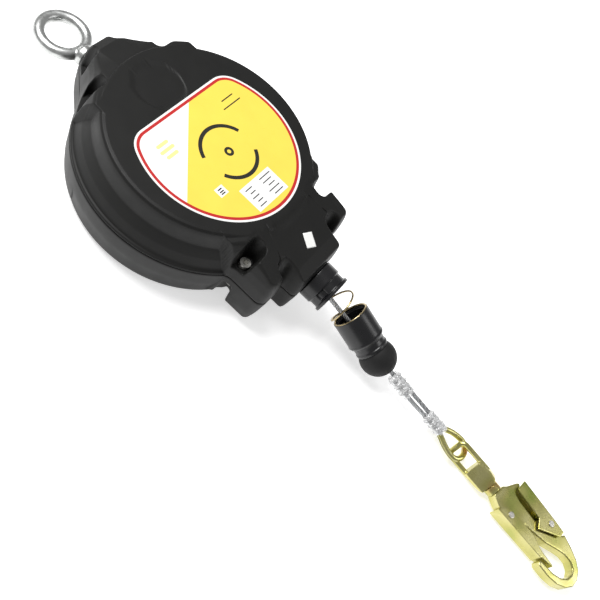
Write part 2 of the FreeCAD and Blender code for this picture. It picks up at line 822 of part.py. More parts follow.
ROPE_TAIL = ((0, 0), (14, 2.6), (26, 3.4), (44, 3.6), (62, 2.7), (76, 3.4), (88, 9.8), (103, 11.5),
             (109, 0), (103, -11.5), (88, -9.8), (76, -3.4), (62, -2.7), (44, -3.6),
             (26, -3.4), (13, -2.8))


def make_lifeline():
    points = [rope_point(98)]
    points += [tail_point(along, side) for along, side in ROPE_TAIL]
    node(rope_tube("lifeline_cable", points), "lifeline_cable")

    wound = size("rope_radius").value + size("cable_radius").value + 0.15
    tail_start = rope_point(98)
    corner = tail_start - rope_way * 24
    angle = math.acos(wound / corner.x)
    leave = Vector(wound * math.cos(angle), -wound * math.sin(angle), 46.5)
    node(rope_tube("cable_lead", [leave, corner, tail_start - rope_way * 0.1]), "cable_lead")


def slab(label, along, length, half_width, half_height, rounding):
    """A rounded bar along the rope's tail, with its length in the tail's direction."""
    start = tail_point(along, 0)
    way = (tail_point(along + length, 0) - start).normalize()
    body = new_body(label)
    wide = half_width
    tall = half_height
    pad(body, "YZ_Plane", [[
        (-wide + rounding, -tall), (wide - rounding, -tall), (wide, -tall + rounding),
        (wide, tall - rounding), (wide - rounding, tall), (-wide + rounding, tall),
        (-wide, tall - rounding), (-wide, -tall + rounding),
    ]], length)
    body.Placement = Placement(start, Rotation(Vector(1, 0, 0), way))
    return body


def make_rope_fittings():
    """The ball stop, the two crimped ferrules, their clear sleeves and the thimble."""
    rope = [thing for thing in NODES if thing.Label == "lifeline_cable"][0]
    ball = doc.addObject("Part::Sphere", "ball_blank")
    bind(ball, "Radius", size("ball_radius"))
    ball.Placement = Placement(ball_centre, Rotation())
    node(cut("ball_stop", ball, rope), "ball_stop")
    for name, along in (("upper", 10), ("lower", 58)):
        blank = slab(f"ferrule_{name}_blank", along, 19, 6.6, 3.7, 2.2)
        node(cut(f"ferrule_{name}", blank, rope), f"ferrule_{name}")
        outer = slab(f"sleeve_{name}_blank", along - 2, 22, 8.2, 5.3, 3.2)
        inner = slab(f"sleeve_{name}_hollow", along - 3, 24, 7.2, 4.3, 2.6)
        node(cut(f"sleeve_{name}", outer, inner), f"sleeve_{name}")

    start = tail_point(0, 0)
    way = (tail_point(10, 0) - start).normalize()
    blank = new_body("thimble_blank")
    outside = [(77, -2.5), (77, 2.5), (86, 8.3), (93, 11.2), (100, 10.8), (104.5, 6.5),
               (106, 0), (104.5, -6.5), (100, -10.8), (93, -11.2), (86, -8.3)]
    inside = [(81, 0), (88, 4.4), (93, 6.8), (99.5, 6.3), (102.5, 3.9), (103.4, 0),
              (102.5, -3.9), (99.5, -6.3), (93, -6.8), (88, -4.4)]
    pad(blank, "XY_Plane", [outside, inside], 5.6, both_sides=True)
    blank.Placement = Placement(start, Rotation(Vector(1, 0, 0), way))
    node(cut("thimble", blank, rope), "thimble")


# ---------------------------------------------------------------- the end buffer


def make_buffer():
    """The cup that the ball drives, and the spring between it and the nozzle."""
    radius = size("cup_radius")
    seat = [(x, y) for x, y in (polar(size("ball_radius") + 0.5, a)
                                for a in (122.5, 132, 142, 152, 160.5))]
    cup = new_body("buffer_cup")
    outline = [
        (-49, 16.4), (-49, radius), (-24, radius), (-22.5, radius + 0.5), (-20, radius - 0.8),
        (-19, 15.2), (-13.5, 14.8), (-12.6, 15.8), (-9.6, 15.3), *seat,
        (-21.5, 6), (-21.5, 14.6), (-46, 14.6), (-46, 16.4),
    ]
    revolve(cup, outline, "X_Axis")
    cup.Placement = cup_place
    node(cup, "buffer_cup")

    mouth = cup_place.multVec(Vector(-48.2, 0, 0))
    start = Vector(153.6, 0, seam.value)
    way = mouth - start
    coil, steps, per_turn = 12.9, 72, 16
    line = [Vector(*polar(coil, 360 * i / per_turn), way.Length * i / steps)
            for i in range(steps + 1)]
    helix = Part.BSplineCurve()
    helix.interpolate(line)
    tangent = helix.tangent(helix.FirstParameter)[0]
    circle = Part.Wire(Part.makeCircle(size("wire_radius").value, line[0], tangent))
    spring = Part.Wire(helix.toShape()).makePipeShell([circle], True, False)
    thing = free_shape("buffer_spring", spring)
    thing.Placement = Placement(start, Rotation(Vector(0, 0, 1), way))
    node(thing, "buffer_spring")


# ---------------------------------------------------------------- the anchor eye


def make_eye():
    centre = -size("eye_centre")
    shank = size("shank_radius")
    ring = doc.addObject("Part::Torus", "eye_ring")
    bind(ring, "Radius1", size("ring_radius"))
    bind(ring, "Radius2", size("ring_section"))
    ring.Placement = Placement(Vector(centre.value, 0, seam.value), Rotation())
    stem = new_body("eye_stem")
    revolve(stem, [
        (-141.5, 0), (-141.5, 7), (-138.5, 9.6), (-133, 9.6), (-132.6, 9), (-132.6, shank),
        (-77.5, shank), (-76.5, shank - 1), (-76.5, 0),
    ], "X_Axis")
    stem.Placement = Placement(Vector(0, 0, seam.value), Rotation())
    whole = fuse("eye_whole", [ring, stem])
    node(whole, "anchor_eye")
    washer = new_body("eye_washer")
    bore = shank + 0.02
    pad(washer, "YZ_Plane", [(0, seam, 11), (0, seam, bore)], 1.4, -89.9)
    node(washer, "eye_washer")
    nut = new_body("eye_nut")
    hexagon = [(y, z + seam) for y, z in (polar(as_size(10.4), 60 * i) for i in range(6))]
    pad(nut, "YZ_Plane", [hexagon, (0, seam, bore)], 9, -88.4)
    node(nut, "eye_nut")


# ---------------------------------------------------------------- the bow and the hook


def make_bow():
    """The link between thimble and hook: one bent bar and a bored block."""
    radius = size("bar_radius").value
    side = size("bow_side").value
    corners = [Vector(34, side, 0), Vector(0, side, 0), Vector(0, -side, 0),
               Vector(34, -side, 0)]
    path, radii = arc_path(corners, 0.27)
    circle = Part.Wire(Part.makeCircle(radius, corners[0], Vector(1, 0, 0)))
    bar = free_shape("bow_bar", path.makePipeShell([circle], True, False))
    block = new_body("bow_block")
    pad(block, "XY_Plane", [[
        (23, -9.4), (23, 9.4), (36, 10.6), (43.5, 9.5), (46.3, 7.5), (46.3, -7.5), (43.5, -9.5),
        (36, -10.6),
    ]], 14, both_sides=True)
    for y, z in ((1, 1), (1, -1), (-1, -1), (-1, 1)):
        pocket(block, "YZ_Plane", [[(12 * y, 3 * z), (12 * y, 8 * z), (6.6 * y, 8 * z)]], 30, 20)
    whole = fuse("bow_blank", [bar, block])
    passage = new_body("bow_passage")
    revolve(passage, [(25.5, 0), (25.5, 6.3), (33, 6.3), (33, 4.6), (50, 4.6), (50, 0)],
            "X_Axis")
    bow = cut("swivel_bow", whole, passage)
    bow.Placement = bow_place
    node(bow, "swivel_bow")


HOOK_OUTLINE = (
    (53.5, -6), (54.5, 7.5), (58, 12), (63, 22.5), (65.2, 25), (67, 24), (68.5, 14),
    (76, 11.5), (98, 9.5), (101, 12), (103, 22), (125.7, 21.2), (128, 25.4), (140, 21.4),
    (150.6, 16.2), (157.4, 9.8), (161.2, 1.2), (160.8, -7.6), (155.5, -15), (147, -19.8),
    (136, -21.5), (124, -20.8), (122.2, -18.5), (122.2, -15.4), (139, -14.4), (147, -11.6),
    (152.4, -6.4), (153.8, 0), (151.6, 5.6), (146, 9.2), (138.5, 9.6), (131, 7.2), (118, 1.8),
    (104, -0.6), (93, -2.6), (83, -10.8), (72, -13), (62, -10.5),
)


def hook_plate(label, outline, thickness, hole_lists=()):
    body = new_body(label)
    pad(body, "XY_Plane", [list(outline), *hole_lists], thickness, both_sides=True)
    return body


def channel(label, outline, inner, width, gap, holes):
    """A folded sheet lever: two cheeks that straddle the hook, joined by a web."""
    body = new_body(label)
    pad(body, "XY_Plane", [list(outline), *holes], width, both_sides=True)
    pocket(body, "XY_Plane", [list(inner)], gap, both_sides=True)
    return body


GATE_PIVOT = (76.1, -8.6)
LOCK_PIVOT = (110.1, 18.6)


def make_hook():
    bore = size("rivet_radius") + 0.05
    body = hook_plate("hook_body", HOOK_OUTLINE, size("hook_thickness"),
                      [(*GATE_PIVOT, size("rivet_radius")), (*LOCK_PIVOT, size("rivet_radius"))])
    body.Placement = hook_place
    node(body, "hook_body")
    stud = new_body("swivel_stud")
    revolve(stud, [
        (26, 0), (26, 6), (32.7, 6), (32.7, 4.5), (46.6, 4.5), (46.6, 7.4), (53.4, 7.4),
        (53.4, 0),
    ], "X_Axis")
    stud.Placement = hook_place
    node(stud, "swivel_stud")

    gate_outline = [
        (63.5, -15.2), (66, -9.5), (70, -4.6), (84, -3.6), (103, -3.4), (113, -7.6),
        (120.2, -9.2), (133.5, -10.6), (134.5, -12), (121, -14.1), (120.6, -15.2),
    ]
    gate_inner = [
        (55, -13.9), (118, -13.9), (118, 0), (55, 0),
    ]
    gate = channel("hook_gate", gate_outline, gate_inner, size("gate_width"),
                   size("hook_thickness") + 0.7, [(*GATE_PIVOT, bore)])
    gate.Placement = hook_place
    node(gate, "hook_gate")

    lever_outline = [
        (66.7, 29), (66.2, 17.5), (69.5, 15.6), (98, 12.9), (100.6, 8.5), (103.6, 3.6),
        (113, 9.6), (124.5, 16.6), (124.6, 23.6), (110, 25.4),
    ]
    lever_inner = [(60, 32), (60, 0), (135, 0), (135, 20.9), (110, 23.7), (69.2, 27.3),
                   (69.2, 32)]
    lever = channel("lock_lever", lever_outline, lever_inner, size("lever_width"),
                    size("gate_width") + 0.6, [(*LOCK_PIVOT, bore)])
    lever.Placement = hook_place
    node(lever, "lock_lever")

    for label, pivot, width in (
        ("gate_rivet", GATE_PIVOT, size("gate_width")),
        ("lock_rivet", LOCK_PIVOT, size("lever_width")),
    ):
        rivet = new_body(label)
        pad(rivet, "XY_Plane", [(*pivot, size("rivet_radius"))], width + 0.4, both_sides=True)
        for start in (width * 0.5 + 0.1, -width * 0.5 - 0.9):
            pad(rivet, "XY_Plane", [(*pivot, 3.1)], 0.8, start)
        rivet.Placement = hook_place
        node(rivet, label)


# ---------------------------------------------------------------- labels


def make_labels():
    """The printed front label, cut straight on its eye side, and a small sticker."""
    label = new_body("front_label")
    arc = [(8 + 77 * math.cos(math.radians(a)), 77 * math.sin(math.radians(a)))
           for a in range(-110, 111, 10)]
    outline = [(-40, -50), (-36, -60), (-28, -67), *arc, (-28, 67), (-36, 60), (-40, 50)]
    pad(label, "XY_Plane", [outline], 0.3, top)
    node(label, "front_label")


make_front_cover()
make_rear_cover()
make_cover_screws()
make_frame()
make_ratchet_ring()
make_shaft()
make_spring_case()
make_mainspring()
make_drum()
make_brake()
make_pawls()
make_nozzle()
make_lifeline()
make_rope_fittings()
make_buffer()
make_eye()
make_bow()
make_hook()
make_labels()

doc.recompute()
for thing in doc.Objects:
    if "Invalid" in thing.State or "Error" in thing.State:
        raise ValueError(f"{thing.Label} failed: {thing.State}")
for thing in NODES:
    if thing.Shape.isNull() or not thing.Shape.isValid():
        raise ValueError(f"{thing.Label} has no valid shape")

os.makedirs("parts", exist_ok=True)
for thing in NODES:
    thing.Shape.exportStep(f"parts/{thing.Label}.step")
print(len(NODES), "nodes written")
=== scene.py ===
import json
import math

import bmesh
import bpy
import numpy as np
from mathutils import Matrix, Vector, noise


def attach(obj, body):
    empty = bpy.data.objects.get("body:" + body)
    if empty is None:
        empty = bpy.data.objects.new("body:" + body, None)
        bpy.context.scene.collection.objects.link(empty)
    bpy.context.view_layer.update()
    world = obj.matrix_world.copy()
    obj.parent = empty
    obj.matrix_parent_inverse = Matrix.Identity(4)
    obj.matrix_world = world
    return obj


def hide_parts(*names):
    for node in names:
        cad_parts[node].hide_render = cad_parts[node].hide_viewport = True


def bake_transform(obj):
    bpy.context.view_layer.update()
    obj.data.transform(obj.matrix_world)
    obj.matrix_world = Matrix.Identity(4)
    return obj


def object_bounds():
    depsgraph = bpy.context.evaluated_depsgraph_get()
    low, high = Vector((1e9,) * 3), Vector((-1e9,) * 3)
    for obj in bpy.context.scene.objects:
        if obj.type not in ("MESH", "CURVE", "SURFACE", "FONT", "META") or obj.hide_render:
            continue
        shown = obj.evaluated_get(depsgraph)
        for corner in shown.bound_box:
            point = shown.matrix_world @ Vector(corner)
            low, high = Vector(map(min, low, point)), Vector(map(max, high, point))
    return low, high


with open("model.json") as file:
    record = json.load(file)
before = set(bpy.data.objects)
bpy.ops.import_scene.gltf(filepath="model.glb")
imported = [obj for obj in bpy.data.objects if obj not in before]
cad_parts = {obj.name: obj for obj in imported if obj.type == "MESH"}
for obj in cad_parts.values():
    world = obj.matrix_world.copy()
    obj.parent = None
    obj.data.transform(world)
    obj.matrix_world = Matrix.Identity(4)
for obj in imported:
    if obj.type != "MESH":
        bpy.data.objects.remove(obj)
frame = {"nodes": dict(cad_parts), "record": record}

cad_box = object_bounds()
MM = 0.001

# ------------------------------------------------------------------ camera

LENS = 54.0
DISTANCE = 0.780
TARGET = Vector((0.150, -0.029, 0.045))
AZIMUTH = math.radians(-1.8)
ELEVATION = math.radians(52.5)
ROLL = math.radians(45.4)


def make_camera():
    back = Vector((
        math.sin(AZIMUTH) * math.cos(ELEVATION),
        -math.cos(AZIMUTH) * math.cos(ELEVATION),
        math.sin(ELEVATION),
    ))
    right = Vector((math.cos(AZIMUTH), math.sin(AZIMUTH), 0))
    up = back.cross(right)
    turned_right = right * math.cos(ROLL) + up * math.sin(ROLL)
    turned_up = up * math.cos(ROLL) - right * math.sin(ROLL)
    data = bpy.data.cameras.new("camera")
    data.lens = LENS
    data.sensor_width = 36
    data.clip_start = 0.01
    camera = bpy.data.objects.new("camera", data)
    axes = Matrix((turned_right, turned_up, back)).transposed().to_4x4()
    camera.matrix_world = Matrix.Translation(TARGET + back * DISTANCE) @ axes
    bpy.context.collection.objects.link(camera)
    bpy.context.scene.camera = camera


make_camera()

# ------------------------------------------------------------------ the rope's route

SEAM_Z = 0.045
ROPE_SLOPE = math.radians(11)
THROAT = Vector((0.140, 0, SEAM_Z))
ROPE_WAY = Vector((math.cos(ROPE_SLOPE), 0, -math.sin(ROPE_SLOPE)))
LINK = Vector((0.3485, 0, 0.0104))
CUP_TILT = math.radians(20)
ROPE_DIAMETER = 0.0045
ROPE_TAIL = ((0, 0), (14, 2.6), (26, 3.4), (44, 3.6), (62, 2.7), (76, 3.4), (88, 9.8),
             (103, 11.5), (109, 0), (103, -11.5), (88, -9.8), (76, -3.4), (62, -2.7),
             (44, -3.6), (26, -3.4), (13, -2.8))


def rope_point(x):
    return THROAT + ROPE_WAY * ((x - THROAT.x) / ROPE_WAY.x)


TAIL_START = rope_point(0.252)
TAIL_WAY = (LINK - TAIL_START).normalized()
BALL = rope_point(0.2375)


def tail_point(along, side, lift=0.0):
    """A point of the rope's tail, its distances in millimetres."""
    up = TAIL_WAY.cross(Vector((0, -1, 0)))
    return TAIL_START + TAIL_WAY * along * MM + Vector((0, side * MM, 0)) + up * lift * MM


ROUTE = [rope_point(0.098)] + [tail_point(a, b) for a, b in ROPE_TAIL]


def nurbs(name, points, radius=0.0):
    data = bpy.data.curves.new(name, "CURVE")
    data.dimensions = "3D"
    data.resolution_u = 12
    spline = data.splines.new("NURBS")
    spline.points.add(len(points) - 1)
    for place, point in zip(spline.points, points):
        place.co = (*point, 1)
    spline.order_u = 3
    spline.use_endpoint_u = True
    data.bevel_depth = radius
    data.bevel_resolution = 6
    thing = bpy.data.objects.new(name, data)
    bpy.context.collection.objects.link(thing)
    return thing


def curve_line(points, spacing):
    """Even points along the NURBS line through a route."""
    plain = nurbs("route", points)
    plain.data.resolution_u = 24
    mesh = bpy.data.meshes.new_from_object(plain)
    line = [v.co.copy() for v in mesh.vertices]
    bpy.data.objects.remove(plain)
    bpy.data.meshes.remove(mesh)
    return even_line(line, spacing)


def even_line(line, spacing):
    lengths = [0.0]
    for a, b in zip(line, line[1:]):
        lengths.append(lengths[-1] + (b - a).length)
    count = max(2, round(lengths[-1] / spacing))
    out = []
    k = 0
    for i in range(count + 1):
        want = lengths[-1] * i / count
        while k < len(line) - 2 and lengths[k + 1] < want:
            k += 1
        share = (want - lengths[k]) / max(1e-9, lengths[k + 1] - lengths[k])
        out.append(line[k].lerp(line[k + 1], min(1, share)))
    return out


def frames_along(line):
    """A tangent and two normals at each point of a line, turning as little as they can."""
    tangents = []
    for i in range(len(line)):
        a = line[max(0, i - 1)]
        b = line[min(len(line) - 1, i + 1)]
        tangents.append((b - a).normalized())
    side = tangents[0].orthogonal().normalized()
    out = []
    for tangent in tangents:
        side = (side - tangent * side.dot(tangent)).normalized()
        out.append((tangent, side, tangent.cross(side)))
    return out


def new_object(name, bm, smooth=True):
    mesh = bpy.data.meshes.new(name)
    bm.normal_update()
    bm.to_mesh(mesh)
    bm.free()
    thing = bpy.data.objects.new(name, mesh)
    bpy.context.collection.objects.link(thing)
    for face in mesh.polygons:
        face.use_smooth = smooth
    return thing


def add_tube(bm, line, radius, sides=8):
    """A round tube along a line, closed by a face at each end."""
    rings = []
    for point, (_, a, b) in zip(line, frames_along(line)):
        ring = []
        for k in range(sides):
            angle = 2 * math.pi * k / sides
            ring.append(bm.verts.new(point + (a * math.cos(angle) + b * math.sin(angle)) * radius))
        rings.append(ring)
    for low, high in zip(rings, rings[1:]):
        for k in range(sides):
            n = (k + 1) % sides
            bm.faces.new((low[k], low[n], high[n], high[k]))
    bm.faces.new(list(reversed(rings[0])))
    bm.faces.new(rings[-1])


# A stranded wire rope: six strands of six wires each, laid round a core.
LAY_LENGTH = 0.030
STRANDS = 6
WIRES = 6


def make_rope(name, points):
    line = curve_line(points, 0.0011)
    frames = frames_along(line)
    total = sum((b - a).length for a, b in zip(line, line[1:]))
    spacing = total / (len(line) - 1)
    bm = bmesh.new()
    strand_orbit = ROPE_DIAMETER / 2 * 0.655
    strand_radius = ROPE_DIAMETER / 2 - strand_orbit
    wire_radius = strand_radius * 0.36
    wire_orbit = strand_radius - wire_radius
    for strand in range(STRANDS):
        for wire in range(WIRES):
            path = []
            for i, point in enumerate(line):
                tangent, a, b = frames[i]
                turn = 2 * math.pi * (i * spacing / LAY_LENGTH + strand / STRANDS)
                out = a * math.cos(turn) + b * math.sin(turn)
                around = tangent.cross(out)
                spin = 2 * math.pi * (wire / WIRES - i * spacing / (LAY_LENGTH * 0.55))
                offset = out * math.cos(spin) + around * math.sin(spin)
                path.append(point + out * strand_orbit + offset * wire_orbit)
            add_tube(bm, path, wire_radius, sides=5)
    add_tube(bm, line, strand_orbit, sides=8)
    return new_object(name, bm)


rope = make_rope("rope", ROUTE)


# ------------------------------------------------------------------ materials


class Paint:
    """Builds one procedural material, in object coordinates."""

    def __init__(self, name, colour, roughness, metallic=0.0):
        self.material = bpy.data.materials.new(name)
        self.material.use_nodes = True
        self.tree = self.material.node_tree
        self.shader = self.tree.nodes["Principled BSDF"]
        self.shader.inputs["Base Color"].default_value = (*colour, 1)
        self.shader.inputs["Roughness"].default_value = roughness
        self.shader.inputs["Metallic"].default_value = metallic
        self.place = self.tree.nodes.new("ShaderNodeTexCoord").outputs["Object"]
        self.bump_end = None

    def link(self, a, b):
        self.tree.links.new(a, b)

    def noise(self, size, detail=4.0, stretch=None):
        """Noise whose features are about this many metres across."""
        texture = self.tree.nodes.new("ShaderNodeTexNoise")
        texture.inputs["Scale"].default_value = 1 / size
        texture.inputs["Detail"].default_value = detail
        place = self.place
        if stretch:
            mapping = self.tree.nodes.new("ShaderNodeMapping")
            mapping.inputs["Scale"].default_value = stretch
            self.link(place, mapping.inputs["Vector"])
            place = mapping.outputs["Vector"]
        self.link(place, texture.inputs["Vector"])
        return texture.outputs["Fac"]

    def ramp(self, fac, stops):
        node = self.tree.nodes.new("ShaderNodeValToRGB")
        elements = node.color_ramp.elements
        for i, (position, colour) in enumerate(stops):
            element = elements[i] if i < 2 else elements.new(position)
            element.position = position
            element.color = (*colour, 1)
        self.link(fac, node.inputs["Fac"])
        return node.outputs["Color"]

    def colours(self, size, stops, stretch=None, detail=4.0):
        out = self.ramp(self.noise(size, detail, stretch), stops)
        self.link(out, self.shader.inputs["Base Color"])
        return self

    def rough(self, size, low, high, stretch=None):
        node = self.tree.nodes.new("ShaderNodeMapRange")
        node.inputs["From Min"].default_value = 0.3
        node.inputs["From Max"].default_value = 0.7
        node.inputs["To Min"].default_value = low
        node.inputs["To Max"].default_value = high
        self.link(self.noise(size, 5.0, stretch), node.inputs["Value"])
        self.link(node.outputs["Result"], self.shader.inputs["Roughness"])
        return self

    def bump(self, size, depth, strength=1.0, stretch=None, detail=4.0):
        node = self.tree.nodes.new("ShaderNodeBump")
        node.inputs["Strength"].default_value = strength
        node.inputs["Distance"].default_value = depth
        self.link(self.noise(size, detail, stretch), node.inputs["Height"])
        if self.bump_end:
            self.link(self.bump_end, node.inputs["Normal"])
        self.bump_end = node.outputs["Normal"]
        self.link(self.bump_end, self.shader.inputs["Normal"])
        return self

    def set(self, **values):
        for name, value in values.items():
            self.shader.inputs[name.replace("_", " ")].default_value = value
        return self


def near(colour, share):
    return tuple(min(1, c * share) for c in colour)


def plastic(name, colour, low, high, texture, depth, gloss=0.5):
    paint = Paint(name, colour, (low + high) / 2)
    paint.colours(0.02, [(0.3, near(colour, 0.92)), (0.7, near(colour, 1.1))])
    paint.rough(0.012, low, high)
    paint.set(Specular_IOR_Level=gloss)
    return paint.bump(texture, depth, 0.6).bump(texture * 6, depth * 2, 0.25)


def metal(name, colour, low, high, stretch=None, scratch=0.0006, depth=0.00002):
    paint = Paint(name, colour, (low + high) / 2, 1.0)
    paint.colours(0.006, [(0.3, near(colour, 0.82)), (0.7, near(colour, 1.08))])
    paint.rough(0.004, low, high, stretch)
    return paint.bump(scratch, depth, 0.5, stretch)


def zinc(name, base):
    """Yellow chromated zinc: gold that drifts to olive green and to rose."""
    paint = Paint(name, base, 0.26, 0.95)
    olive = (0.34, 0.40, 0.09)
    rose = (0.58, 0.36, 0.14)
    pale = (0.62, 0.58, 0.26)
    paint.colours(0.03, [(0.28, olive), (0.74, rose), (0.42, base), (0.55, pale), (0.64, base)],
                  detail=1.5)
    paint.rough(0.02, 0.2, 0.32)
    return paint.bump(0.0009, 0.00001, 0.4).bump(0.008, 0.00006, 0.3)


GOLD = (0.52, 0.49, 0.17)
PAINTS = {
    "housing_black": plastic("housing_black", (0.0085, 0.0085, 0.008), 0.46, 0.52, 0.0006, 0.00003,
                             0.24),
    "nozzle_black": plastic("nozzle_black", (0.006, 0.006, 0.007), 0.24, 0.34, 0.0009, 0.00001),
    "ball_rubber": plastic("ball_rubber", (0.009, 0.009, 0.009), 0.6, 0.7, 0.0007, 0.00005, 0.3),
    "liner_white": plastic("liner_white", (0.06, 0.06, 0.06), 0.4, 0.5, 0.0009, 0.00001),
    "screw_steel": metal("screw_steel", (0.62, 0.61, 0.57), 0.24, 0.38),
    "rivet_bright": metal("rivet_bright", (0.80, 0.78, 0.72), 0.2, 0.32),
    "frame_steel": metal("frame_steel", (0.56, 0.57, 0.58), 0.26, 0.4, (1, 12, 1)),
    "hard_steel": metal("hard_steel", (0.33, 0.34, 0.36), 0.3, 0.44),
    "spring_steel": metal("spring_steel", (0.50, 0.38, 0.22), 0.22, 0.36, (4, 4, 1)),
    "galvanised": metal("galvanised", (0.60, 0.61, 0.60), 0.26, 0.42, None, 0.0012, 0.00008),
    "aluminium_drum": metal("aluminium_drum", (0.72, 0.73, 0.74), 0.28, 0.42, (1, 1, 10)),
    "bronze": metal("bronze", (0.55, 0.38, 0.18), 0.32, 0.46),
    "wire_rope": metal("wire_rope", (0.66, 0.67, 0.68), 0.25, 0.4, None, 0.0004, 0.00001),
    "yellow_zinc": zinc("yellow_zinc", GOLD),
    "friction_lining": plastic("friction_lining", (0.14, 0.09, 0.06), 0.7, 0.85, 0.0008, 0.0001),
    "label_film": plastic("label_film", (0.86, 0.86, 0.84), 0.25, 0.34, 0.004, 0.00002),
}
PAINTS["spring_wire"] = metal("spring_wire", (0.50, 0.40, 0.22), 0.18, 0.32)
film = Paint("clear_sleeve", (1.0, 1.0, 1.0), 0.12)
film.rough(0.004, 0.04, 0.16).bump(0.0030, 0.0003, 0.6).bump(0.0009, 0.00003, 0.3)
film.set(Transmission_Weight=0.75, IOR=1.30)
PAINTS["clear_sleeve"] = film


def dress(thing, slot, paint=None):
    thing.data.materials.clear()
    thing.data.materials.append(PAINTS[paint or slot].material)


def finish_piece(thing, body, slot, *nodes, paint=None):
    """Gives a piece its material and its body, and hides the CAD nodes that it stands for."""
    dress(thing, slot, paint)
    if body:
        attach(thing, body)
    if nodes:
        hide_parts(*nodes)
    return thing


# ------------------------------------------------------------------ moulded and forged pieces


def applied(thing):
    """Bakes an object's modifiers into its mesh."""
    bpy.context.view_layer.update()
    graph = bpy.context.evaluated_depsgraph_get()
    mesh = bpy.data.meshes.new_from_object(thing.evaluated_get(graph))
    old = thing.data
    thing.modifiers.clear()
    thing.data = mesh
    bpy.data.meshes.remove(old)
    mesh.name = thing.name
    for face in mesh.polygons:
        face.use_smooth = True
    return thing


def softened(name, node, voxel, rounds, extra=None):
    """A copy of a CAD node with every edge and inner corner rounded, as on a casting."""
    bm = bmesh.new()
    bm.from_mesh(frame["nodes"][node].data)
    if extra:
        extra(bm)
    thing = new_object(name, bm)
    thing.data.materials.clear()
    remesh = thing.modifiers.new("remesh", "REMESH")
    remesh.mode = "VOXEL"
    remesh.voxel_size = voxel
    remesh.adaptivity = 0
    smooth = thing.modifiers.new("smooth", "SMOOTH")
    smooth.factor = 0.5
    smooth.iterations = rounds
    return applied(thing)


# ------------------------------------------------------------------ what is on the rope


def make_ball():
    """The rubber ball stop, with a raised parting line round it."""
    ball = softened("ball_piece", "ball_stop", 0.0007, 3)
    half_width = 0.0006
    raised = 0.00016
    for v in ball.data.vertices:
        out = v.co - BALL
        if abs(out.y) < half_width:
            v.co += out.normalized() * raised
    return finish_piece(ball, "lifeline", "ball_rubber", "ball_stop")


def make_sleeve(name, start, end, node):
    """Shrunk clear film round a ferrule, gathered into soft beads."""
    bm = bmesh.new()
    rings = []
    steps, sides = 56, 40
    beads = 3.5
    half_width, half_height = 7.1, 4.7
    for i in range(steps + 1):
        share = i / steps
        along = start + (end - start) * share
        bead = 1 + 0.10 * math.cos(2 * math.pi * share * beads + math.pi)
        mouth = 1 - 0.16 * (abs(2 * share - 1) ** 6)
        ring = []
        for k in range(sides):
            angle = 2 * math.pi * k / sides
            wobble = 1 + 0.12 * noise.noise(
                Vector((along * 0.35, math.cos(angle) * 1.5, math.sin(angle) * 1.5)))
            width = half_width * bead * mouth * wobble
            height = half_height * bead * mouth * wobble
            ring.append(bm.verts.new(
                tail_point(along, width * math.cos(angle), height * math.sin(angle))))
        rings.append(ring)
    for low, high in zip(rings, rings[1:]):
        for k in range(sides):
            n = (k + 1) % sides
            bm.faces.new((low[k], low[n], high[n], high[k]))
    thing = new_object(name, bm)
    wall = thing.modifiers.new("wall", "SOLIDIFY")
    wall.thickness = 0.00035
    wall.offset = -1
    applied(thing)
    return finish_piece(thing, "lifeline", "clear_sleeve", node)


def make_thimble():
    """The zinc plated channel that holds the rope's eye open."""
    mouth = 0.0765
    loop = [p for p in curve_line([tail_point(a, b) for a, b in ROPE_TAIL[3:14]], 0.0008)
            if (p - TAIL_START).dot(TAIL_WAY) > mouth]
    up = TAIL_WAY.cross(Vector((0, -1, 0)))
    centre = tail_point(94, 0)
    bm = bmesh.new()
    inner, outer = [], []
    shape = [math.radians(a) for a in range(-170, 171, 17)]
    for i, point in enumerate(loop):
        tangent = (loop[min(i + 1, len(loop) - 1)] - loop[max(i - 1, 0)]).normalized()
        inward = tangent.cross(up)
        if inward.dot(centre - point) < 0:
            inward = -inward
        rows = []
        for radius in (0.0024, 0.0030):
            rows.append([bm.verts.new(point + (inward * math.cos(a) + up * math.sin(a)) * radius)
                         for a in shape])
        inner.append(rows[0])
        outer.append(rows[1])
    for k in range(len(shape) - 1):
        for i in range(len(loop) - 1):
            bm.faces.new((inner[i][k], inner[i + 1][k], inner[i + 1][k + 1], inner[i][k + 1]))
            bm.faces.new((outer[i][k], outer[i][k + 1], outer[i + 1][k + 1], outer[i + 1][k]))
    for i in range(len(loop) - 1):
        for k in (0, len(shape) - 1):
            bm.faces.new((inner[i][k], inner[i + 1][k], outer[i + 1][k], outer[i][k]))
    for i in (0, len(loop) - 1):
        for k in range(len(shape) - 1):
            bm.faces.new((inner[i][k], inner[i][k + 1], outer[i][k + 1], outer[i][k]))
    bmesh.ops.recalc_face_normals(bm, faces=bm.faces)
    thing = new_object("thimble_piece", bm)
    soft = thing.modifiers.new("soft", "SUBSURF")
    soft.levels = 1
    applied(thing)
    return finish_piece(thing, "lifeline", "yellow_zinc", "thimble")


finish_piece(rope, "lifeline", "wire_rope", "lifeline_cable")
on_rope = [
    make_ball(),
    make_thimble(),
    make_sleeve("sleeve_upper_film", 6.5, 31, "sleeve_upper"),
    make_sleeve("sleeve_lower_film", 55, 78.5, "sleeve_lower"),
    frame["nodes"]["ferrule_upper"],
    frame["nodes"]["ferrule_lower"],
]
curve_line(ROUTE, 0.002)

# ------------------------------------------------------------------ the moulded housing

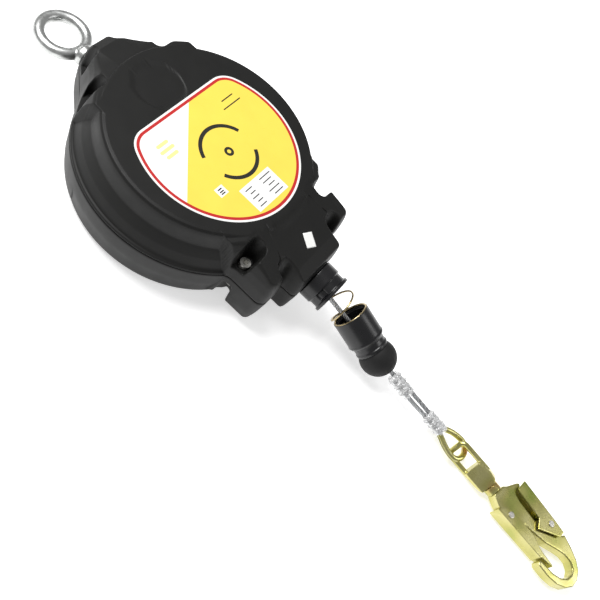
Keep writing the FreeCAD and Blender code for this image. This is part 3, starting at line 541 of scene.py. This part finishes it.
# Millimetres are used throughout this section.
SEAM = 45.0
SEAM_GAP = 0.3
COVER_RADIUS = 111.0
COVER_TOP = 86.0
FRONT_LIP = 46.4
REAR_LIP = 43.6
WALL = 3.2
ROPE_BORE = 10.6
SHANK_BORE = 6.7
SPOKES = 1440
LUG_SIDE, LUG_INNER, LUG_END = 64.0, 41.0, 131.0
BLOCK_SIDE, BLOCK_END = 33.0, 145.0
WEDGE = ((-84, 64), (-101, 47), (-113, 33), (-129.5, 13.5), (-132, 11), (-132, -11),
         (-129.5, -13.5), (-113, -33), (-101, -47), (-84, -64))


def soft_max(a, b, width):
    share = np.clip(0.5 + 0.5 * (a - b) / width, 0, 1)
    return b + (a - b) * share + width * share * (1 - share)


def soft_min(a, b, width):
    return -soft_max(-a, -b, width)


def step(low, high, value):
    share = np.clip((value - low) / (high - low), 0, 1)
    return share * share * (3 - 2 * share)


def box_distance(x, y, x0, x1, y0, y1, corner):
    """Distance outside a rectangle with round corners."""
    dx = np.abs(x - (x0 + x1) / 2) - (x1 - x0) / 2 + corner
    dy = np.abs(y - (y0 + y1) / 2) - (y1 - y0) / 2 + corner
    outside = np.hypot(np.maximum(dx, 0), np.maximum(dy, 0))
    return outside + np.minimum(np.maximum(dx, dy), 0) - corner


def slot_distance(x, y, x0, y0, x1, y1, half):
    """Distance outside a slot with round ends."""
    way = np.array([x1 - x0, y1 - y0], float)
    share = ((x - x0) * way[0] + (y - y0) * way[1]) / (way @ way)
    share = np.clip(share, 0, 1)
    return np.hypot(x - x0 - way[0] * share, y - y0 - way[1] * share) - half


def hull_distance(x, y, corners):
    """Distance outside a convex outline, measured to its sides' lines."""
    out = np.full_like(x, -1e9)
    for (ax, ay), (bx, by) in zip(corners, corners[1:] + corners[:1]):
        length = math.hypot(bx - ax, by - ay)
        out = np.maximum(out, ((by - ay) * (x - ax) - (bx - ax) * (y - ay)) / length)
    return out


def outline_distance(x, y):
    """Distance outside the covers' outline at the seam; it is symmetric in Y."""
    far = np.abs(y)
    out = np.hypot(x, y) - COVER_RADIUS
    out = soft_min(out, hull_distance(x, y, WEDGE), 5.0)
    lug = box_distance(x, far, 60, LUG_END, 10, LUG_SIDE, 9)
    block = box_distance(x, far, 60, BLOCK_END, -BLOCK_SIDE, BLOCK_SIDE, 6)
    out = soft_min(out, lug, 5.0)
    out = soft_min(out, block, 3.0)
    valley = slot_distance(x, far, 124.5, 37.5, 170, 39.5, 4.2)
    return soft_max(out, -valley, 3.0)


def notch(height, distance, floor, edge=1.6):
    """Sinks a height field to a floor inside an outline, with soft edges."""
    depth = step(edge, -edge, distance)
    return height + (np.minimum(height, floor) - height) * depth


def front_height(x, y):
    """The front cover's outer face: the disc, the slope to the nozzle, the eye's ridge, slots."""
    far = np.abs(y)
    radius = np.hypot(x, y)
    inside = -outline_distance(x, y)
    dish = np.interp(COVER_RADIUS - radius,
                     (-60, 0, 0.7, 2.6, 3.6, 7, 11, 12.8, 13.6, 14.4, 15.4, 17.0, 19.5),
                     (0, 46.4, 47.8, 48.7, 50.2, 58, 65, 68, 74, 80.5, 83.8, 85.5, 86.0))
    saddle = np.interp(x, (40, 84, 96, 118, 131, 145), (86, 85.6, 83.6, 76.5, 72.5, 66.0))
    saddle = saddle - step(60, 30, x) * 60 - np.maximum(0, far - 50) * 0.12
    saddle = np.where(far > 66, -60, saddle)
    ridge = np.interp(-x, (60, 86, 98, 118, 127, 132), (86, 86, 84.6, 80, 75, 65))
    ridge = ridge - np.maximum(0, far - 14) * np.interp(-x, (80, 100, 125), (0.0, 0.04, 0.3))
    ridge = np.where((x > -50) | (far > 62), -60, ridge)
    height = soft_max(dish, soft_max(saddle, ridge, 1.0), 5.0)
    height = np.minimum(height, COVER_TOP)
    steep = np.interp(inside, (0, 0.3, 1.0, 2.6, 5.0, 9.0, 14.0),
                      (46.4, 50, 58, 68, 76, 84, 92))
    height = soft_min(height, steep, 3.0)
    screw_slot = slot_distance(x, far, 95, 49.5, 95, 100, 7.0)
    block_valley = slot_distance(x, far, 122.5, 37.2, 160, 39.5, 5.2)
    shoulder_slot = slot_distance(x, far, -95.5, 39.5, -95.5, 80, 5.4)
    tip_slot = slot_distance(x, far, -123.0, 17.0, -126, 60, 5.2)
    height = notch(height, screw_slot, 58.5)
    height = notch(height, block_valley, 50, 3.0)
    height = notch(height, shoulder_slot, 58.5)
    height = notch(height, tip_slot, 51.0)
    dimple = 0.6 * step(24.6, 23.6, np.hypot(x + 62, y))
    return np.maximum(height - dimple, FRONT_LIP)


def rear_height(x, y):
    """The rear cover's outer face, which is what the housing stands on."""
    far = np.abs(y)
    radius = np.hypot(x, y)
    inside = -outline_distance(x, y)
    dish = np.interp(COVER_RADIUS - radius, (-60, -2, 0, 0.6, 5.2, 6.4, 9.5, 13),
                     (60, 46, 40, 30, 8, 4, 1, 0))
    saddle = np.where((x > 30) & (far < 66), np.where(far < 36, 18.0, 10.0), 60.0)
    tail = np.where(x < -50, 10.0, 60.0)
    height = -soft_max(-dish, -np.minimum(saddle, tail), 3.0)
    steep = np.interp(inside, (0, 0.4, 1.4, 3.5, 7.0), (REAR_LIP, 36, 22, 10, 0))
    height = soft_max(height, steep, 3.0)
    height = np.maximum(height, 0)
    for cut in (slot_distance(x, far, 95.5, 55, 97, 100, 5.5),
                slot_distance(x, far, -93.5, 44, -97, 80, 5.0)):
        height = height + (np.maximum(height, 36) - height) * step(1.4, -1.4, cut)
    return np.minimum(height, REAR_LIP)


def outline_radius(angle):
    """Where each spoke from the drum's axis crosses the covers' outline."""
    reach = np.linspace(175, 95, 321)[:, None]
    distance = outline_distance(reach * np.cos(angle), reach * np.sin(angle))
    first = np.argmax(distance <= 0, axis=0)
    low, high = reach[first, 0], reach[np.maximum(first - 1, 0), 0]
    for _ in range(24):
        middle = (low + high) / 2
        inside = outline_distance(middle * np.cos(angle), middle * np.sin(angle)) <= 0
        low = np.where(inside, middle, low)
        high = np.where(inside, high, middle)
    return low


def make_shell(name, node, outer_surface, sign):
    """A cover as two height fields on spokes: the outer face, and the inner one behind it."""
    angle = np.arange(SPOKES) * 2 * math.pi / SPOKES
    edge = outline_radius(angle)
    lip = 1 - np.array([0.012, 0.009, 0.0065, 0.0045, 0.003, 0.0018, 0.0008, 0])
    outward = np.concatenate([np.linspace(0.02, 0.70, 30), np.linspace(0.71, 0.985, 92), lip])
    inward = np.concatenate([[0.996], np.linspace(0.99, 0.70, 60), np.linspace(0.68, 0.02, 16)])
    rim = SEAM + sign * SEAM_GAP
    layers = []
    for share in outward:
        x, y = edge * share * np.cos(angle), edge * share * np.sin(angle)
        layers.append(np.stack([x, y, outer_surface(x, y)], 1))
    for share in inward:
        x, y = edge * share * np.cos(angle), edge * share * np.sin(angle)
        radius = np.hypot(x, y)
        wall = outer_surface(x, y) - sign * WALL
        hollow = step(106.5, 104.5, radius)
        inner = rim + (wall - rim) * hollow
        for half, beyond in ((ROPE_BORE, x > 96), (SHANK_BORE, x < -78)):
            arch = SEAM + sign * np.sqrt(np.maximum(half * half - y * y, 0))
            in_bore = beyond & (np.abs(y) < half) & (sign * (arch - inner) > 0)
            inner = np.where(in_bore, arch, inner)
        inner = rim + sign * np.maximum(sign * (inner - rim), 0)
        layers.append(np.stack([x, y, inner], 1))
    verts = np.concatenate(layers) * MM
    count = len(layers)
    k = np.arange(SPOKES)
    n = (k + 1) % SPOKES
    faces = []
    for i in range(count - 1):
        a, b = i * SPOKES, (i + 1) * SPOKES
        faces.append(np.stack([a + k, b + k, b + n, a + n], 1))
    faces = np.concatenate(faces)
    mesh = bpy.data.meshes.new(name)
    first_cap = list(range(SPOKES - 1, -1, -1))
    last_cap = list(range((count - 1) * SPOKES, count * SPOKES))
    mesh.from_pydata(verts.tolist(), [], faces.tolist() + [first_cap, last_cap])
    thing = bpy.data.objects.new(name, mesh)
    bpy.context.collection.objects.link(thing)
    bm = bmesh.new()
    bm.from_mesh(mesh)
    bmesh.ops.recalc_face_normals(bm, faces=bm.faces)
    bm.to_mesh(mesh)
    bm.free()
    for face in mesh.polygons:
        face.use_smooth = True
    smooth = thing.modifiers.new("smooth", "SMOOTH")
    smooth.factor = 0.5
    smooth.iterations = 2
    applied(thing)
    return finish_piece(thing, "housing", "housing_black", node)


make_shell("front_shell", "front_cover", front_height, 1)
make_shell("rear_shell", "rear_cover", rear_height, -1)


def inner_sleeve(bm):
    """The dark sleeve seen through the nozzle's windows."""
    sides = 48
    rings = []
    for x, radius in ((0.1485, 0.0150), (0.1675, 0.0150), (0.1675, 0.0159), (0.1485, 0.0159)):
        rings.append([bm.verts.new((x, radius * math.cos(2 * math.pi * k / sides),
                                    SEAM_Z + radius * math.sin(2 * math.pi * k / sides)))
                      for k in range(sides)])
    for low, high in zip(rings, rings[1:] + rings[:1]):
        for k in range(sides):
            n = (k + 1) % sides
            bm.faces.new((low[k], low[n], high[n], high[k]))


finish_piece(softened("nozzle_piece", "nozzle", 0.0005, 2, inner_sleeve), "housing",
             "nozzle_black", "nozzle")
finish_piece(softened("cup_piece", "buffer_cup", 0.0005, 3), "buffer", "nozzle_black",
             "buffer_cup")
finish_piece(softened("eye_piece", "anchor_eye", 0.0008, 6), "eye", "galvanised",
             "anchor_eye")

# ------------------------------------------------------------------ the buffer's spring

CUP_AXIS = Vector((math.cos(CUP_TILT), 0, -math.sin(CUP_TILT)))
MOUTH = BALL - CUP_AXIS * 0.0487


def make_buffer_spring():
    start = Vector((0.1535, 0, SEAM_Z))
    first = Vector((1, 0, 0))
    side = Vector((0, 1, 0))
    turns, steps = 3.6, 260
    first_angle = 1.9
    wire_radius = 0.0009
    line = []
    for i in range(steps + 1):
        turn = turns * i / steps
        share = min(1, max(0, turn - 0.6) / (turns - 1.6))
        centre = start.lerp(MOUTH, share)
        axis = first.lerp(CUP_AXIS, share).normalized()
        over = axis.cross(side)
        radius = 0.0134 + 0.0026 * share
        angle = 2 * math.pi * turn + first_angle
        line.append(centre + (side * math.cos(angle) + over * math.sin(angle)) * radius)
    bm = bmesh.new()
    add_tube(bm, line, wire_radius, sides=10)
    thing = new_object("spring_piece", bm)
    finish_piece(thing, None, "spring_steel", "buffer_spring", paint="spring_wire")
    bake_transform(thing)


make_buffer_spring()

# ------------------------------------------------------------------ the bow and the hook

for name, node, body, voxel, rounds in (
    ("bow_piece", "swivel_bow", "bow", 0.0005, 5),
    ("hook_forging", "hook_body", "hook", 0.0005, 12),
    ("stud_piece", "swivel_stud", "hook", 0.0005, 3),
    ("gate_piece", "hook_gate", "gate", 0.00035, 4),
    ("lever_piece", "lock_lever", "lock", 0.00035, 4),
):
    finish_piece(softened(name, node, voxel, rounds), body, "yellow_zinc", node)
for node in ("gate_rivet", "lock_rivet"):
    finish_piece(softened(node + "_piece", node, 0.0003, 5), "hook", "rivet_bright", node)

# ------------------------------------------------------------------ the label


def label_outline(inset, steps=24):
    """The label's outline, that much inside its edge, in millimetres."""
    centre_x, radius, corner, edge = 8.0, 77.0, 22.0, -40.0
    fillet_x = edge + corner
    fillet_y = math.sqrt((radius - corner) ** 2 - (fillet_x - centre_x) ** 2)
    turn = math.atan2(fillet_y, fillet_x - centre_x)
    points = []
    for k in range(steps + 1):
        angle = math.pi + (turn - math.pi) * k / steps
        points.append((fillet_x + (corner - inset) * math.cos(angle),
                       fillet_y + (corner - inset) * math.sin(angle)))
    for k in range(1, 6 * steps):
        angle = turn - 2 * turn * k / (6 * steps)
        points.append((centre_x + (radius - inset) * math.cos(angle),
                       (radius - inset) * math.sin(angle)))
    for k in range(steps + 1):
        angle = -turn + (turn - math.pi) * k / steps
        points.append((fillet_x + (corner - inset) * math.cos(angle),
                       -fillet_y + (corner - inset) * math.sin(angle)))
    return points


def clipped(points, a, b):
    """The part of an outline on the left of the line from a to b."""
    out = []
    for p, q in zip(points, points[1:] + points[:1]):
        side_p = (b[0] - a[0]) * (p[1] - a[1]) - (b[1] - a[1]) * (p[0] - a[0])
        side_q = (b[0] - a[0]) * (q[1] - a[1]) - (b[1] - a[1]) * (q[0] - a[0])
        if side_p >= 0:
            out.append(p)
        if side_p * side_q < 0:
            share = side_p / (side_p - side_q)
            out.append((p[0] + (q[0] - p[0]) * share, p[1] + (q[1] - p[1]) * share))
    return out


def plate(bm, points, low, high):
    """A thin printed plate with this outline, between two heights in millimetres."""
    rows = [[bm.verts.new((x * MM, y * MM, z * MM)) for x, y in points] for z in (low, high)]
    count = len(points)
    for k in range(count):
        n = (k + 1) % count
        bm.faces.new((rows[0][k], rows[0][n], rows[1][n], rows[1][k]))
    bm.faces.new(list(reversed(rows[0])))
    bm.faces.new(rows[1])


def printed(name, colour, outlines, low, high, node=None):
    """One colour of the label's print: plates between two heights in millimetres."""
    roughness = 0.3
    bm = bmesh.new()
    for points in outlines:
        plate(bm, points, low, high)
    bmesh.ops.recalc_face_normals(bm, faces=bm.faces)
    thing = new_object(name, bm, smooth=False)
    paint = Paint(name, colour, roughness)
    paint.colours(0.02, [(0.3, near(colour, 0.97)), (0.7, near(colour, 1.02))])
    paint.rough(0.008, roughness - 0.05, roughness + 0.06).bump(0.003, 0.00002, 0.4)
    PAINTS[name] = paint
    finish_piece(thing, "housing", "label_film", *([node] if node else []), paint=name)


def bar(x, y, length, width, angle=90):
    """A rounded bar centred on a point, in millimetres."""
    turn = math.radians(angle)
    out = []
    for side in (1, -1):
        for k in range(9):
            a = -math.pi / 2 + math.pi * k / 8
            px = side * ((length - width) / 2 + width / 2 * math.cos(a))
            py = side * width / 2 * math.sin(a)
            out.append((x + px * math.cos(turn) - py * math.sin(turn),
                        y + px * math.sin(turn) + py * math.cos(turn)))
    return out


def ring_part(x, y, radius, width, first, last, steps=48):
    """An arc of a flat ring, between two angles in degrees."""
    angles = [math.radians(first + (last - first) * k / steps) for k in range(steps + 1)]
    outside = [(x + (radius + width / 2) * math.cos(a), y + (radius + width / 2) * math.sin(a))
               for a in angles]
    inside = [(x + (radius - width / 2) * math.cos(a), y + (radius - width / 2) * math.sin(a))
              for a in reversed(angles)]
    return outside + inside


def rectangle(x0, x1, y0, y1):
    return [(x0, y0), (x1, y0), (x1, y1), (x0, y1)]


# The line where the label's white corner meets its yellow field.
FIELD_CUT = ((-33.7, 7.0), (26.8, -65.5))
field = label_outline(4.6)
printed("label_base", (0.86, 0.86, 0.84), [label_outline(0)], 86.0, 86.30, "front_label")
printed("label_line", (0.50, 0.02, 0.02), [label_outline(1.9)], 86.2, 86.33)
printed("label_white", (0.88, 0.88, 0.86), [clipped(field, FIELD_CUT[1], FIELD_CUT[0])],
        86.2, 86.36)
printed("label_yellow", (0.86, 0.66, 0.09), [clipped(field, *FIELD_CUT)], 86.2, 86.36)
printed("label_panel", (0.84, 0.84, 0.84), [rectangle(50, 75, -23, 19),
                                            rectangle(36, 45, -41, -31)], 86.3, 86.385)
marks = [ring_part(19, 1, 26, 3.6, 110, 250), ring_part(19, 1, 26, 3.6, -60, 60),
         ring_part(19, 1, 3.2, 2.6, 0, 179.9), ring_part(19, 1, 3.2, 2.6, 180, 359.9)]
marks += [bar(x, y, length, 1.1) for x, y, length in (
    (-19, 44, 16), (-12, 43, 24), (38.5, -36, 5), (41, -36, 5), (43, -36, 5))]
for row in range(5):
    marks.append(bar(54 + 4.4 * row, 9 - (row % 2) * 1.5, 15 - (row % 3) * 3, 0.9))
    marks.append(bar(54 + 4.4 * row, -14 + (row % 2), 9 - (row % 2) * 2, 0.9))
printed("label_marks", (0.02, 0.02, 0.015), marks, 86.3, 86.40)
printed("label_stripes", (0.80, 0.80, 0.30),
        [bar(-20 + 6 * k, -44, 17 - 3 * abs(k - 1), 3.2) for k in range(3)], 86.3, 86.39)


def make_sticker():
    """The small blank inspection sticker on the slope above the nozzle."""
    bm = bmesh.new()
    turn = math.radians(66)
    width, length = 13, 10.5
    centre_x, centre_y = 120, 1
    across, along = 12, 10
    grid = [[], []]
    for layer, lift in enumerate((0.05, 0.35)):
        for i in range(along + 1):
            row = []
            for j in range(across + 1):
                u = (i / along - 0.5) * length
                v = (j / across - 0.5) * width
                x = centre_x + u * math.cos(turn) - v * math.sin(turn)
                y = centre_y + u * math.sin(turn) + v * math.cos(turn)
                z = float(front_height(np.array([x]), np.array([y]))[0]) + lift
                row.append(bm.verts.new((x * MM, y * MM, z * MM)))
            grid[layer].append(row)
    for i in range(along):
        for j in range(across):
            for layer in grid:
                bm.faces.new((layer[i][j], layer[i + 1][j], layer[i + 1][j + 1], layer[i][j + 1]))
    rim = ([(0, j) for j in range(across)] + [(i, across) for i in range(along)]
           + [(along, j) for j in range(across, 0, -1)] + [(i, 0) for i in range(along, 0, -1)])
    for (i, j), (m, n) in zip(rim, rim[1:] + rim[:1]):
        bm.faces.new((grid[0][i][j], grid[0][m][n], grid[1][m][n], grid[1][i][j]))
    bmesh.ops.recalc_face_normals(bm, faces=bm.faces)
    finish_piece(new_object("sticker_piece", bm), "housing", "label_film")


make_sticker()

# ------------------------------------------------------------------ CAD nodes that show as they are

for entry in frame["record"]["subparts"]:
    node = frame["nodes"][entry["node"]]
    if not node.hide_render:
        dress(node, entry["material_slot"])

# ------------------------------------------------------------------ floor and light


def make_floor():
    """A plain pale floor, just under the object, that glows a little as lit paper does."""
    bm = bmesh.new()
    bmesh.ops.create_grid(bm, x_segments=2, y_segments=2, size=3.0)
    for v in bm.verts:
        v.co.z = cad_box[0][2] - 0.0004
    floor = new_object("floor", bm)
    paint = Paint("floor", (0.92, 0.92, 0.92), 0.6)
    paint.rough(0.1, 0.5, 0.7)
    paint.set(Emission_Color=(1, 1, 1, 1), Emission_Strength=0.55)
    floor.data.materials.append(paint.material)


def area_light(name, place, aim, size, power):
    data = bpy.data.lights.new(name, "AREA")
    data.shape = "DISK"
    data.size = size
    data.energy = power
    lamp = bpy.data.objects.new(name, data)
    lamp.location = place
    way = Vector(aim) - Vector(place)
    lamp.rotation_euler = way.to_track_quat("-Z", "Y").to_euler()
    bpy.context.collection.objects.link(lamp)


make_floor()
area_light("key", (-0.75, -0.1, 1.45), (0.1, 0, 0), 1.0, 30)
area_light("end", (1.2, 0.5, 0.9), (0.3, 0, 0), 0.6, 3)
world = bpy.data.worlds.new("studio")
world.use_nodes = True
world.node_tree.nodes["Background"].inputs["Color"].default_value = (1, 1, 1, 1)
world.node_tree.nodes["Background"].inputs["Strength"].default_value = 0.34
bpy.context.scene.world = world
bpy.context.scene.view_settings.view_transform = "Standard"
